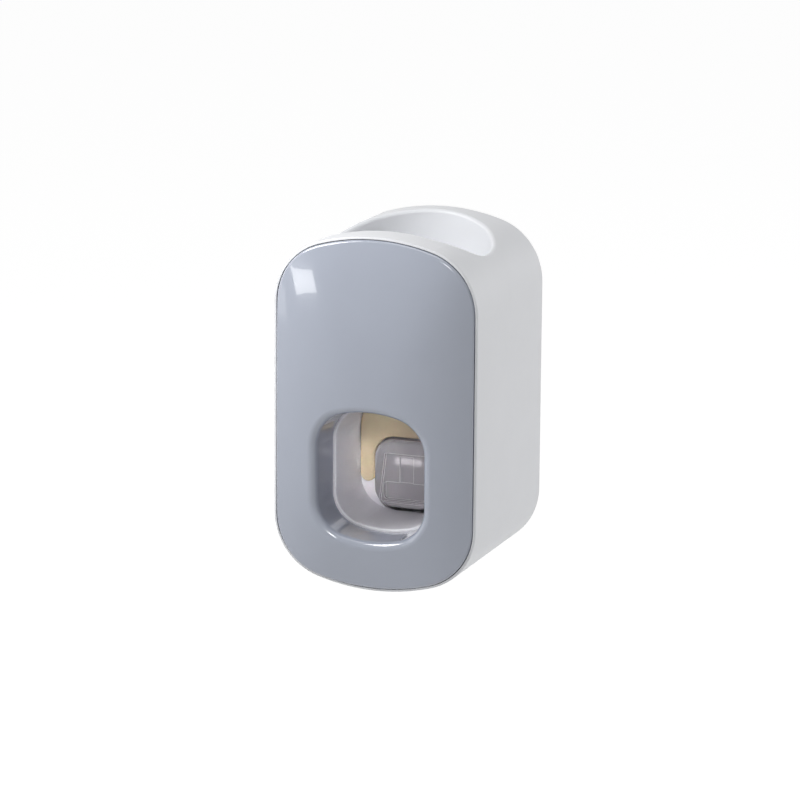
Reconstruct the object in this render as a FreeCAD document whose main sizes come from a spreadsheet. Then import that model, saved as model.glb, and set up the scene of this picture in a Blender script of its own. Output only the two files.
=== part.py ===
import FreeCAD
import Part
import math
import os
import re
import Sketcher

# Wall-hung toothpaste dispenser with a squeeze pump that a toothbrush works.
# Millimetres. The front faces -Y, +Z is up and the wall is the plane Y = 0.
# The origin is the middle of the adhesive pad's wall face.
# Depths are distances from the wall, so a depth of 55 is the plane Y = -55.

SIZES = {
    # Shell
    "shell_width": 60.0,
    "shell_height": 100.0,
    "shell_depth": 53.5,
    "shell_wall": 2.0,
    "shell_draft": 0.45,
    "corner_radius": 18.2,
    "crown_radius": 58.8,
    "wall_gap": 1.5,
    "rim_width": 0.7,
    "rim_depth": 4.0,
    "rim_round": 0.6,
    # Tube well in the arched top
    "well_side": 7.0,
    "well_axis": 30.2,
    "well_rear": 7.2,
    "well_front": 10.7,
    "well_corner": 11.0,
    "well_wall": 1.5,
    "well_bottom": 34.0,
    "well_round": 1.0,
    # Front panel and its window
    "panel_gap": 0.2,
    "panel_proud": 0.5,
    "panel_dome": 5.4,
    "panel_thick": 1.8,
    "panel_skirt": 4.0,
    "panel_skirt_wall": 1.4,
    "panel_round": 0.8,
    "window_width": 32.0,
    "window_height": 37.4,
    "window_drop": 16.9,
    "window_corner": 10.5,
    "window_crown": 32.0,
    "window_flare": 0.7,
    "window_gap": 0.3,
    "bezel_round": 2.0,
    "bezel_wall": 1.5,
    # Corner bosses: pegs of the panel at the front, screws of the cover at the rear
    "boss_side": 9.0,
    "boss_end": 10.7,
    "boss_radius": 3.6,
    "boss_front": 50.5,
    "boss_length": 5.5,
    "peg_radius": 2.0,
    "peg_length": 10.0,
    "peg_play": 0.06,
    "rear_boss_length": 7.5,
    # Rear cover, bracket and pad
    "cover_depth": 3.2,
    "cover_thick": 2.0,
    "cover_play": 0.25,
    "pad_thick": 1.0,
    "bracket_width": 36.0,
    "bracket_height": 50.0,
    "bracket_thick": 1.6,
    "bracket_corner": 6.0,
    "hook_across": 9.0,
    "hook_up": 13.0,
    "hook_width": 8.4,
    "hook_neck": 4.0,
    "hook_height": 6.0,
    "hook_thick": 1.6,
    "hook_lift": 10.0,
    # Core frame: pocket tray and pump bay
    "frame_depth": 47.2,
    "frame_thick": 1.6,
    "frame_gap": 2.8,
    "frame_top": 26.6,
    "frame_boss_room": 2.7,
    "pocket_step": 0.8,
    "pocket_wall": 1.5,
    "pocket_back": 28.0,
    "pocket_back_wall": 1.6,
    "bay_back": 18.5,
    "frame_boss_side": 2.4,
    "frame_boss_end": 6.8,
    # Arch in the pocket's back, splash guard and paddle
    "arch_half": 9.8,
    "arch_top": 12.0,
    "arch_corner": 6.0,
    "guard_thick": 1.7,
    "guard_low": 25.5,
    "paddle_play": 0.45,
    "paddle_front": 31.4,
    "paddle_low": 32.0,
    # Lever and its pivot
    "pivot_depth": 22.4,
    "pivot_drop": 4.5,
    "pin_radius": 1.5,
    "pin_play": 0.05,
    "pin_half": 16.8,
    "hub_radius": 3.2,
    "arm_front": 23.9,
    "arm_thick": 2.2,
    "arm_half": 11.6,
    "arm_top": 12.0,
    "lug_inner": 12.6,
    "foot_front": 26.9,
    "foot_slope": 3.3,
    # Return spring
    "wire_radius": 0.4,
    "coil_radius": 2.7,
    "coil_pitch": 1.25,
    "guard_screw_drop": 3.2,
    "spring_leg": 6.0,
    "spring_straight": 2.0,
    "coil_turns": 3.0,
    # Pump and tube socket
    "pump_depth": 35.4,
    "pump_height": 12.0,
    "pump_half": 10.0,
    "pump_deep": 7.4,
    "pump_wall": 1.4,
    "spout_depth": 39.5,
    "spout_radius": 4.4,
    "spout_tip": 2.4,
    "neck_radius": 6.2,
    "seal_radius": 9.8,
    "seal_flange": 10.9,
    "seal_top": 35.0,
    "spigot_radius": 5.6,
    # Screws
    "screw_head": 2.5,
    "screw_head_thick": 1.4,
    "screw_shank": 1.2,
    "screw_play": 0.08,
}

# Planes and widths worked out from the sizes above
DERIVED = {
    "rim_plane": "wall_gap + shell_depth",
    "panel_edge": "rim_plane + panel_proud",
    "panel_inset": "rim_width + panel_gap",
    "panel_half": "shell_width / 2 - panel_inset",
    "panel_tall": "shell_height / 2 - panel_inset",
    "well_half": "shell_width / 2 - well_side",
    "boss_across": "shell_width / 2 - boss_side",
    "boss_up": "shell_height / 2 - boss_end",
    "window_half": "window_width / 2",
    "window_tall": "window_height / 2",
    "window_end": "frame_depth + window_gap",
    "window_low": "-window_drop - window_tall",
    "window_high": "-window_drop + window_tall",
    "pocket_inset": "window_flare + pocket_step",
    "pocket_half": "window_half - pocket_inset",
    "pocket_low": "window_low + pocket_inset",
    "pocket_high": "window_high - pocket_inset",
    "bay_half": "pocket_half + pocket_wall",
    "cover_front": "cover_depth + cover_thick",
    "bracket_front": "pad_thick + bracket_thick",
    "head_back": "cover_front + 0.3",
    "frame_back": "frame_depth - frame_thick",
    "frame_half": "shell_width / 2 - frame_gap",
    "frame_low": "boss_up - boss_radius - frame_boss_room",
    "frame_boss_across": "frame_half - frame_boss_side",
    "frame_boss_high": "frame_top - frame_boss_end",
    "frame_boss_low": "frame_low - frame_boss_end",
    "plate_low": "frame_top - frame_thick",
    "spigot_low": "plate_low - 4.4",
    "paddle_half": "arch_half - paddle_play",
    "paddle_top": "arch_top + paddle_play",
    "guard_back": "pocket_back + 0.1",
    "arm_back": "arm_front - arm_thick",
    "shank_hole": "screw_shank + screw_play",
}

DOC = FreeCAD.newDocument("toothpaste_dispenser")
NODES = []


def fill_sheet(name, cells):
    """Makes a sheet with one aliased cell for each entry."""
    sheet = DOC.addObject("Spreadsheet::Sheet", name)
    for row, (alias, text) in enumerate(cells.items(), start=1):
        sheet.set(f"A{row}", alias)
        sheet.set(f"B{row}", str(text))
        sheet.setAlias(f"B{row}", alias)
    DOC.recompute()
    return sheet


def linked(formula):
    """Puts the sheet's name before each size that a formula names."""
    def with_sheet(match):
        word = match.group(0)
        if word in SIZES:
            return "Spec." + word
        if word in DERIVED:
            return "Derived." + word
        return word
    return re.sub(r"[a-z][a-z_]*", with_sheet, str(formula))


SPEC = fill_sheet("Spec", SIZES)
fill_sheet("Derived", {alias: "=" + linked(text) for alias, text in DERIVED.items()})


def number(formula):
    """The value of a formula in millimetres."""
    value = SPEC.evalExpression(linked(formula))
    return float(getattr(value, "Value", value))


def bind(thing, prop, formula):
    """Binds a property to a formula on the sheet's sizes."""
    thing.setExpression(prop, linked(formula))


# Sketch helpers

def body(label):
    """A new sub-part made of sketches and features."""
    made = DOC.addObject("PartDesign::Body", label)
    made.Label = label
    made.AllowCompound = True
    return made


def sketch_on(part, role, offset="0"):
    """A sketch on one of the body's origin planes, moved along the plane's normal."""
    plane = [item for item in part.Origin.OriginFeatures if item.Role == role][0]
    sketch = part.newObject("Sketcher::SketchObject", part.Label + "_sketch")
    sketch.AttachmentSupport = [(plane, "")]
    sketch.MapMode = "FlatFace"
    bind(sketch, "AttachmentOffset.Base.z", offset)
    return sketch


def dimension(sketch, kind, refs, formula):
    """A dimension bound to a formula."""
    index = sketch.addConstraint(Sketcher.Constraint(kind, *refs, number(formula)))
    bind(sketch, f"Constraints[{index}]", formula)


def chain(sketch, curves, joint, open_joints=()):
    """Adds curves that follow each other round a closed outline; returns the first one's index.

    The curves meet with one kind of joint, apart from those after the open joints, which only touch.
    """
    first = sketch.GeometryCount
    for curve in curves:
        sketch.addGeometry(curve)
    for step in range(len(curves)):
        after = first + (step + 1) % len(curves)
        kind = "Coincident" if step in open_joints else joint
        sketch.addConstraint(Sketcher.Constraint(kind, first + step, 2, after, 1))
    return first


def arc(x, y, radius, start, end):
    """An arc, counter-clockwise from start to end in radians."""
    circle = Part.Circle(FreeCAD.Vector(x, y, 0), FreeCAD.Vector(0, 0, 1), radius)
    return Part.ArcOfCircle(circle, start, end)


def line(x0, y0, x1, y1):
    """A straight line of a sketch."""
    return Part.LineSegment(FreeCAD.Vector(x0, y0, 0), FreeCAD.Vector(x1, y1, 0))


def polygon(sketch, corners):
    """A closed outline of straight lines through corners given as formulas."""
    points = [(number(x), number(y)) for x, y in corners]
    follow = points[1:] + points[:1]
    first = chain(sketch, [line(*a, *b) for a, b in zip(points, follow)], "Coincident")
    for step, (x, y) in enumerate(corners):
        dimension(sketch, "DistanceX", (-1, 1, first + step, 1), x)
        dimension(sketch, "DistanceY", (-1, 1, first + step, 1), y)


def rectangle(sketch, left, right, low, high):
    """A rectangle between four formulas."""
    polygon(sketch, [(left, low), (right, low), (right, high), (left, high)])


def disc(sketch, x, y, radius):
    """A circle at a centre given as formulas."""
    centre = FreeCAD.Vector(number(x), number(y), 0)
    index = sketch.addGeometry(Part.Circle(centre, FreeCAD.Vector(0, 0, 1), number(radius)))
    dimension(sketch, "DistanceX", (-1, 1, index, 3), x)
    dimension(sketch, "DistanceY", (-1, 1, index, 3), y)
    dimension(sketch, "Radius", (index,), radius)


def rounded(sketch, left, right, low, high, radius):
    """A rectangle with rounded corners; it starts at the foot of its right side."""
    x0, x1, y0, y1, r = (number(text) for text in (left, right, low, high, radius))
    quarter = math.pi / 2
    first = chain(sketch, [
        line(x1, y0 + r, x1, y1 - r),
        arc(x1 - r, y1 - r, r, 0, quarter),
        line(x1 - r, y1, x0 + r, y1),
        arc(x0 + r, y1 - r, r, quarter, 2 * quarter),
        line(x0, y1 - r, x0, y0 + r),
        arc(x0 + r, y0 + r, r, 2 * quarter, 3 * quarter),
        line(x0 + r, y0, x1 - r, y0),
        arc(x1 - r, y0 + r, r, 3 * quarter, 4 * quarter),
    ], "Tangent")
    for side in (0, 4):
        sketch.addConstraint(Sketcher.Constraint("Vertical", first + side))
    for side in (2, 6):
        sketch.addConstraint(Sketcher.Constraint("Horizontal", first + side))
    for corner in (1, 3, 5, 7):
        dimension(sketch, "Radius", (first + corner,), radius)
    dimension(sketch, "DistanceX", (-1, 1, first, 1), right)
    dimension(sketch, "DistanceY", (-1, 1, first + 2, 1), high)
    dimension(sketch, "DistanceX", (-1, 1, first + 4, 1), left)
    dimension(sketch, "DistanceY", (-1, 1, first + 6, 1), low)


def arched(sketch, middle, wide, high, corner, crown):
    """An outline with straight sides, round corners and an arched top and bottom.

    It is drawn about a middle height from its half width, half height and radii, all formulas.
    """
    mid, half, tall = number(middle), number(wide), number(high)
    small, large = number(corner), number(crown)
    across = half - small
    rise = math.sqrt((large - small) ** 2 - across ** 2)
    up = tall - large + rise
    turn = math.atan2(rise, across)
    first = chain(sketch, [
        arc(across, mid + up, small, 0, turn),
        arc(0, mid + tall - large, large, turn, math.pi - turn),
        arc(-across, mid + up, small, math.pi - turn, math.pi),
        line(-half, mid + up, -half, mid - up),
        arc(-across, mid - up, small, math.pi, math.pi + turn),
        arc(0, mid + large - tall, large, math.pi + turn, 2 * math.pi - turn),
        arc(across, mid - up, small, 2 * math.pi - turn, 2 * math.pi),
        line(half, mid - up, half, mid + up),
    ], "Tangent")
    for side in (3, 7):
        sketch.addConstraint(Sketcher.Constraint("Vertical", first + side))
    for index in (0, 2, 4, 6):
        dimension(sketch, "Radius", (first + index,), corner)
    for index, sign in ((1, "+"), (5, "-")):
        dimension(sketch, "Radius", (first + index,), crown)
        sketch.addConstraint(Sketcher.Constraint("PointOnObject", first + index, 3, -2))
        dimension(sketch, "DistanceY", (-1, 1, first + index, 3),
                  f"{middle} {sign} ({high} - ({crown}))")
    dimension(sketch, "DistanceX", (-1, 1, first + 7, 1), wide)
    dimension(sketch, "DistanceX", (-1, 1, first + 3, 1), f"-({wide})")


def crowned(sketch, inset):
    """The dispenser's front outline, drawn in by an inset."""
    arched(sketch, "0", f"shell_width / 2 - ({inset})", f"shell_height / 2 - ({inset})",
           f"corner_radius - ({inset})", f"crown_radius - ({inset})")


def well_outline(sketch, grow):
    """The tube well from above: straight front edge, round front corners, one arc at the rear."""
    half = f"(well_half + ({grow}))"
    deep = f"(well_axis - well_rear + ({grow}))"
    radius = f"({half} * {half} + {deep} * {deep}) / (2 * {deep})"
    side, bulge, middle = number(half), number(radius), number("-well_axis")
    corner = number(f"well_corner + ({grow})")
    front = number(f"well_front - rim_plane - ({grow})")
    centre = middle + number(deep) - bulge
    start = math.atan2(middle - centre, side)
    quarter = math.pi / 2
    first = chain(sketch, [
        line(side, front + corner, side, middle),
        arc(0, centre, bulge, start, 2 * quarter - start),
        line(-side, middle, -side, front + corner),
        arc(corner - side, front + corner, corner, 2 * quarter, 3 * quarter),
        line(corner - side, front, side - corner, front),
        arc(side - corner, front + corner, corner, 3 * quarter, 4 * quarter),
    ], "Tangent", open_joints=(0, 1))
    for upright in (0, 2):
        sketch.addConstraint(Sketcher.Constraint("Vertical", first + upright))
    sketch.addConstraint(Sketcher.Constraint("Horizontal", first + 4))
    dimension(sketch, "DistanceX", (-1, 1, first, 2), half)
    dimension(sketch, "DistanceY", (-1, 1, first, 2), "-well_axis")
    dimension(sketch, "DistanceY", (-1, 1, first + 2, 1), "-well_axis")
    dimension(sketch, "DistanceY", (-1, 1, first + 1, 3), f"{deep} - {radius} - well_axis")
    sketch.addConstraint(Sketcher.Constraint("PointOnObject", first + 1, 3, -2))
    for index in (3, 5):
        dimension(sketch, "Radius", (first + index,), f"well_corner + ({grow})")
    dimension(sketch, "DistanceY", (-1, 1, first + 4, 1), f"well_front - rim_plane - ({grow})")


# Feature helpers

def feature(part, kind, sketch):
    """A feature of a body on a sketch."""
    made = part.newObject("PartDesign::" + kind, f"{part.Label}_{kind.lower()}")
    made.Profile = sketch
    sketch.Visibility = False
    return made


def pad(part, sketch, length, backwards=False, both=False):
    """Material from a sketch along its normal, against it, or to both sides."""
    made = feature(part, "Pad", sketch)
    bind(made, "Length", length)
    made.Reversed = backwards
    made.Midplane = both
    DOC.recompute()
    return made


def pocket(part, sketch, length, backwards=False, both=False):
    """A cut against a sketch's normal, along it, or to both sides; it has to remove material."""
    before = part.Shape.Volume
    made = feature(part, "Pocket", sketch)
    bind(made, "Length", length)
    made.Reversed = backwards
    made.Midplane = both
    DOC.recompute()
    if part.Shape.Volume > before - 1e-3:
        raise RuntimeError(f"{made.Label} cuts nothing")
    return made


def revolve(part, sketch):
    """A full turn of a sketch about its own upright axis."""
    made = feature(part, "Revolution", sketch)
    made.ReferenceAxis = (sketch, ["V_Axis"])
    DOC.recompute()
    return made


def edges_of(shape, wanted):
    """Names of the edges whose middle point and curve pass a test."""
    names = []
    for index, edge in enumerate(shape.Edges, start=1):
        if wanted(edge, edge.valueAt((edge.FirstParameter + edge.LastParameter) / 2)):
            names.append(f"Edge{index}")
    return names


def soften(part, wanted, radius, kind="Fillet"):
    """Rounds or bevels the edges of a body that pass a test."""
    base = part.Tip
    names = edges_of(base.Shape, wanted)
    if not names:
        raise RuntimeError(f"no edge to round on {part.Label}")
    made = part.newObject("PartDesign::" + kind, f"{part.Label}_{kind.lower()}")
    made.Base = (base, names)
    bind(made, "Radius" if kind == "Fillet" else "Size", radius)
    DOC.recompute()
    return made


def node(label, item):
    """Registers an object as a sub-part under its node name."""
    item.Label = label
    NODES.append(item)
    return item


def boolean(kind, label, *items):
    """A Part boolean of two or more objects."""
    made = DOC.addObject("Part::" + kind, label)
    if kind == "Cut":
        made.Base, made.Tool = items
    else:
        made.Shapes = list(items)
    DOC.recompute()
    return made


def at_depth(depth):
    """A test for points that lie in a plane parallel to the wall."""
    return lambda edge, point: abs(point.y + number(depth)) < 1e-3


def four_corners(across, up):
    """The four mirrored places of a corner, as formulas."""
    return [(f"{a}({across})", f"{b}({up})") for a in ("", "-") for b in ("", "-")]


def screws(label, role, places, seat, reach, backwards, head="screw_head"):
    """Screws with a domed, cross-slotted head on a seat plane and a shank behind it."""
    part = body(label)
    heads = sketch_on(part, role, seat)
    shanks = sketch_on(part, role, seat)
    for x, y in places:
        disc(heads, x, y, head)
        disc(shanks, x, y, "screw_shank")
    pad(part, heads, "screw_head_thick", backwards)
    sign = "-" if backwards else "+"
    top = number(f"{seat} {sign} screw_head_thick")

    def on_top(edge, point):
        level = point.z if role == "XY_Plane" else -point.y
        return abs(level - top) < 1e-3

    soften(part, on_top, "screw_head_thick * 0.6")
    pad(part, shanks, reach, not backwards)
    cross = sketch_on(part, role, f"{seat} {sign} screw_head_thick")
    for x, y in places:
        long, short = f"{head} * 0.5", f"{head} * 0.13"
        corners = [(long, short), (short, short), (short, long)]
        steps = []
        for turn in range(4):
            for a, b in corners:
                a, b = [(a, b), (f"-{b}", a), (f"-{a}", f"-{b}"), (b, f"-{a}")][turn]
                steps.append((f"{x} + {a}", f"{y} + {b}"))
        polygon(cross, steps)
    pocket(part, cross, "screw_head_thick * 0.55", backwards)
    node(label, part)


# Adhesive pad and wall bracket

def make_adhesive_pad():
    part = body("adhesive_pad")
    face = sketch_on(part, "XZ_Plane")
    rounded(face, "1 - bracket_width / 2", "bracket_width / 2 - 1", "1 - bracket_height / 2",
            "bracket_height / 2 - 1", "bracket_corner - 1")
    pad(part, face, "pad_thick")
    node("adhesive_pad", part)


def hook_places():
    return four_corners("hook_across", "hook_up")


def make_wall_bracket():
    part = body("wall_bracket")
    plate = sketch_on(part, "XZ_Plane", "pad_thick")
    rounded(plate, "-bracket_width / 2", "bracket_width / 2", "-bracket_height / 2",
            "bracket_height / 2", "bracket_corner")
    pad(part, plate, "bracket_thick")
    soften(part, at_depth("bracket_front"), "bracket_thick * 0.35")
    necks = sketch_on(part, "XZ_Plane", "bracket_front")
    heads = sketch_on(part, "XZ_Plane", "head_back")
    for x, z in hook_places():
        rectangle(necks, f"{x} - hook_neck / 2", f"{x} + hook_neck / 2",
                  f"{z} - hook_height / 2", f"{z} + hook_height / 2")
        rounded(heads, f"{x} - hook_width / 2", f"{x} + hook_width / 2",
                f"{z} - hook_height / 2", f"{z} + hook_height / 2", "hook_neck / 4")
    pad(part, necks, "head_back - bracket_front")
    pad(part, heads, "hook_thick")
    soften(part, at_depth("head_back + hook_thick"), "hook_thick * 0.4")
    node("wall_bracket", part)


# Rear cover with a T slot for each hook

def make_rear_cover():
    part = body("rear_cover")
    plate = sketch_on(part, "XZ_Plane", "cover_depth")
    crowned(plate, "shell_wall + shell_draft + cover_play")
    pad(part, plate, "cover_thick")
    slots = sketch_on(part, "XZ_Plane", "cover_front")
    play = "cover_play + 0.05"
    for x, z in hook_places():
        top = f"{z} + hook_height / 2 + 0.1"
        shoulder = f"{z} + hook_height / 2 - hook_lift + 0.5"
        low = f"{z} - hook_height / 2 - hook_lift - 0.5"
        narrow, wide = f"hook_neck / 2 + {play}", f"hook_width / 2 + {play}"
        polygon(slots, [
            (f"{x} - ({narrow})", top), (f"{x} - ({narrow})", shoulder),
            (f"{x} - ({wide})", shoulder), (f"{x} - ({wide})", low),
            (f"{x} + ({wide})", low), (f"{x} + ({wide})", shoulder),
            (f"{x} + ({narrow})", shoulder), (f"{x} + ({narrow})", top),
        ])
    pocket(part, slots, "cover_thick")
    holes = sketch_on(part, "XZ_Plane", "cover_front")
    for x, z in four_corners("boss_across", "boss_up"):
        disc(holes, x, z, "shank_hole + 0.2")
    pocket(part, holes, "cover_thick")
    node("rear_cover", part)


# Outer shell: a drafted tube with the tube well hung from its arched top

def loft_between(label, role, sections):
    """A body lofted straight through outlines drawn at given offsets."""
    part = body(label)
    drawn = []
    for offset, draw in sections:
        sketch = sketch_on(part, role, offset)
        draw(sketch)
        drawn.append(sketch)
    made = part.newObject("PartDesign::AdditiveLoft", label + "_loft")
    made.Profile = drawn[0]
    made.Sections = [(sketch, [""]) for sketch in drawn[1:]]
    made.Ruled = True
    DOC.recompute()
    return part


def prism(label, role, offset, length, draw):
    """A straight body from one outline."""
    part = body(label)
    sketch = sketch_on(part, role, offset)
    draw(sketch)
    pad(part, sketch, length)
    return part


def make_outer_shell():
    hull = loft_between("shell_hull", "XZ_Plane", [
        ("rim_plane", lambda s: crowned(s, "0")),
        ("wall_gap", lambda s: crowned(s, "shell_draft")),
    ])
    hollow = loft_between("shell_hollow", "XZ_Plane", [
        ("rim_plane + 1", lambda s: crowned(s, "shell_wall")),
        ("wall_gap - 1", lambda s: crowned(s, "shell_wall + shell_draft")),
    ])
    block = prism("well_block", "XY_Plane", "well_bottom", "shell_height / 2",
                  lambda s: well_outline(s, "well_wall"))
    bore = prism("well_bore", "XY_Plane", "well_bottom - 1", "shell_height / 2",
                 lambda s: well_outline(s, "0"))
    open_hull = boolean("Cut", "shell_open", hull, bore)
    front = [edge for edge in hull.Shape.Edges if lies_at(edge, "rim_plane")]
    rim = shared_edges(open_hull.Shape, [Part.Compound(front)])
    mouth = shared_edges(open_hull.Shape, [hull.Shape.Shells[0], bore.Shape.Shells[0]])
    soft_hull = DOC.addObject("Part::Fillet", "shell_soft")
    soft_hull.Base = open_hull
    soft_hull.Edges = ([(index, number("rim_round"), number("rim_round")) for index in rim]
                       + [(index, number("well_round"), number("well_round")) for index in mouth])
    inside = boolean("Cut", "shell_inside", hollow, block)
    tube = boolean("Cut", "shell_tube", soft_hull, inside)

    corners = four_corners("boss_across", "boss_up")
    sides = frame_boss_places()
    bosses = [
        discs("peg_bosses", "boss_front - boss_length", "boss_length", corners, "boss_radius"),
        discs("cover_bosses", "cover_front", "rear_boss_length", corners, "boss_radius"),
        discs("frame_bosses", "frame_back - 10.1", "10", sides, "boss_radius"),
    ]
    solid = boolean("MultiFuse", "shell_solid", tube, *bosses)
    cutters = boolean(
        "MultiFuse", "shell_cutters",
        discs("peg_holes", "boss_front - boss_length - 0.1", "boss_length + 0.2", corners,
              "peg_radius + peg_play"),
        discs("cover_holes", "cover_front - 0.1", "rear_boss_length - 0.8", corners, "shank_hole"),
        discs("frame_holes", "frame_back - 9.3", "9.3", sides, "shank_hole"),
        prism("rim_rebate", "XZ_Plane", "rim_plane - rim_depth", "rim_depth + 1",
              lambda s: crowned(s, "rim_width")))
    node("outer_shell", boolean("Cut", "outer_shell", solid, cutters))


def discs(label, offset, length, places, radius):
    """Round posts or holes that run away from the wall."""
    return prism(label, "XZ_Plane", offset, length,
                 lambda s: [disc(s, x, z, radius) for x, z in places])


def frame_boss_places():
    return [(f"{a}frame_boss_across", z) for a in ("", "-")
            for z in ("frame_boss_high", "-frame_boss_low")]


def points_along(edge):
    """The ends and the middle of an edge."""
    first, last = edge.FirstParameter, edge.LastParameter
    return [edge.valueAt(first + (last - first) * share) for share in (0, 0.5, 1)]


def lies_at(edge, depth):
    """Whether an edge lies in a plane parallel to the wall."""
    return all(abs(point.y + number(depth)) < 1e-3 for point in points_along(edge))


def shared_edges(shape, skins):
    """Numbers of the edges of a shape that lie on every one of some skins."""
    found = []
    for index, edge in enumerate(shape.Edges, start=1):
        corners = [Part.Vertex(point) for point in points_along(edge)]
        if all(corner.distToShape(skin)[0] < 1e-3 for corner in corners for skin in skins):
            found.append(index)
    return found


# Front panel: domed plate with a skirt, a window with a rolled edge and a drafted tunnel, four pegs

def window_outline(sketch, grow):
    """The window, grown outwards."""
    arched(sketch, "-window_drop", f"window_half + ({grow})", f"window_tall + ({grow})",
           f"window_corner + ({grow})", f"window_crown + ({grow})")


def dome(label, setback):
    """All that lies behind the panel's domed face, with the face set back towards the wall.

    The dome falls from its middle to the panel's edge by a power of the distance from the middle,
    measured so that lines of equal distance are rounded rectangles, as the outline is.
    """
    half, tall = number("panel_half"), number("panel_tall")
    rise, front = number("panel_dome"), number(f"panel_edge + panel_dome - ({setback})")
    squareness, fall, margin, steps = 4.5, 2.5, 1.1, 8
    rows = []
    for column in range(-steps, steps + 1):
        across = margin * column / steps
        row = []
        for level in range(-steps, steps + 1):
            up = margin * level / steps
            reach = (abs(across) ** squareness + abs(up) ** squareness) ** (1 / squareness)
            row.append(FreeCAD.Vector(half * across, rise * reach ** fall - front, tall * up))
        rows.append(row)
    face = Part.BSplineSurface()
    face.interpolate(rows)
    made = DOC.addObject("Part::Feature", label)
    made.Shape = face.toShape().extrude(FreeCAD.Vector(0, front, 0))
    made.Placement = FreeCAD.Placement()
    return made


def make_front_panel():
    front = "panel_edge + panel_dome + 1"
    block = prism("panel_block", "XZ_Plane", "panel_edge - panel_skirt", "panel_skirt + panel_dome + 1",
                  lambda s: crowned(s, "panel_inset"))
    inside = prism("panel_inside", "XZ_Plane", "panel_edge - panel_skirt - 1",
                   "panel_skirt + panel_dome + 2", lambda s: crowned(s, "panel_inset + panel_skirt_wall"))
    collar = loft_between("window_collar", "XZ_Plane", [
        (front, lambda s: window_outline(s, "bezel_wall + 0.6")),
        ("window_end", lambda s: window_outline(s, "bezel_wall - window_flare")),
    ])
    tunnel = loft_between("window_tunnel", "XZ_Plane", [
        (front, lambda s: window_outline(s, "0")),
        ("window_end - 0.1", lambda s: window_outline(s, "-window_flare")),
    ])
    face = dome("panel_face", "0")
    plate = boolean("MultiCommon", "panel_plate", boolean("MultiFuse", "panel_bulk", block, collar), face)
    pierced = boolean("Cut", "panel_pierced", plate, tunnel)
    edge = shared_edges(pierced.Shape, [face.Shape.Shells[0], block.Shape.Shells[0]])
    mouth = shared_edges(pierced.Shape, [face.Shape.Shells[0], tunnel.Shape.Shells[0]])
    soft = DOC.addObject("Part::Fillet", "panel_soft")
    soft.Base = pierced
    soft.Edges = ([(index, number("panel_round"), number("panel_round")) for index in edge]
                  + [(index, number("bezel_round"), number("bezel_round")) for index in mouth])
    DOC.recompute()
    cavity = boolean("MultiCommon", "panel_cavity", inside, dome("panel_back", "panel_thick"))
    open_cavity = boolean("Cut", "panel_open_cavity", cavity, collar)
    hollow = boolean("Cut", "panel_hollow", soft, open_cavity)
    pegs = body("panel_pegs")
    ends = sketch_on(pegs, "XZ_Plane", "panel_edge + panel_dome")
    for x, z in four_corners("boss_across", "boss_up"):
        disc(ends, x, z, "peg_radius")
    pad(pegs, ends, "panel_dome + peg_length", backwards=True)
    soften(pegs, at_depth("panel_edge - peg_length"), "peg_radius * 0.3", "Chamfer")
    rooted = boolean("MultiCommon", "panel_rooted_pegs", pegs, dome("panel_middle", "panel_thick / 2"))
    node("front_panel", boolean("MultiFuse", "front_panel", hollow, rooted))


# Core frame: flange, pocket tray, pump bay, pivot lugs

def tray_outline(sketch, grow):
    """The pocket's cross-section, grown outwards."""
    window_outline(sketch, f"{grow} - pocket_inset")


def guard_screw_places():
    return [("5.5", "pocket_high - guard_screw_drop"), ("-5.5", "pocket_high - guard_screw_drop")]


def funnel_screw_places():
    return [("11.6", "9 - well_axis"), ("-11.6", "9 - well_axis")]


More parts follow.
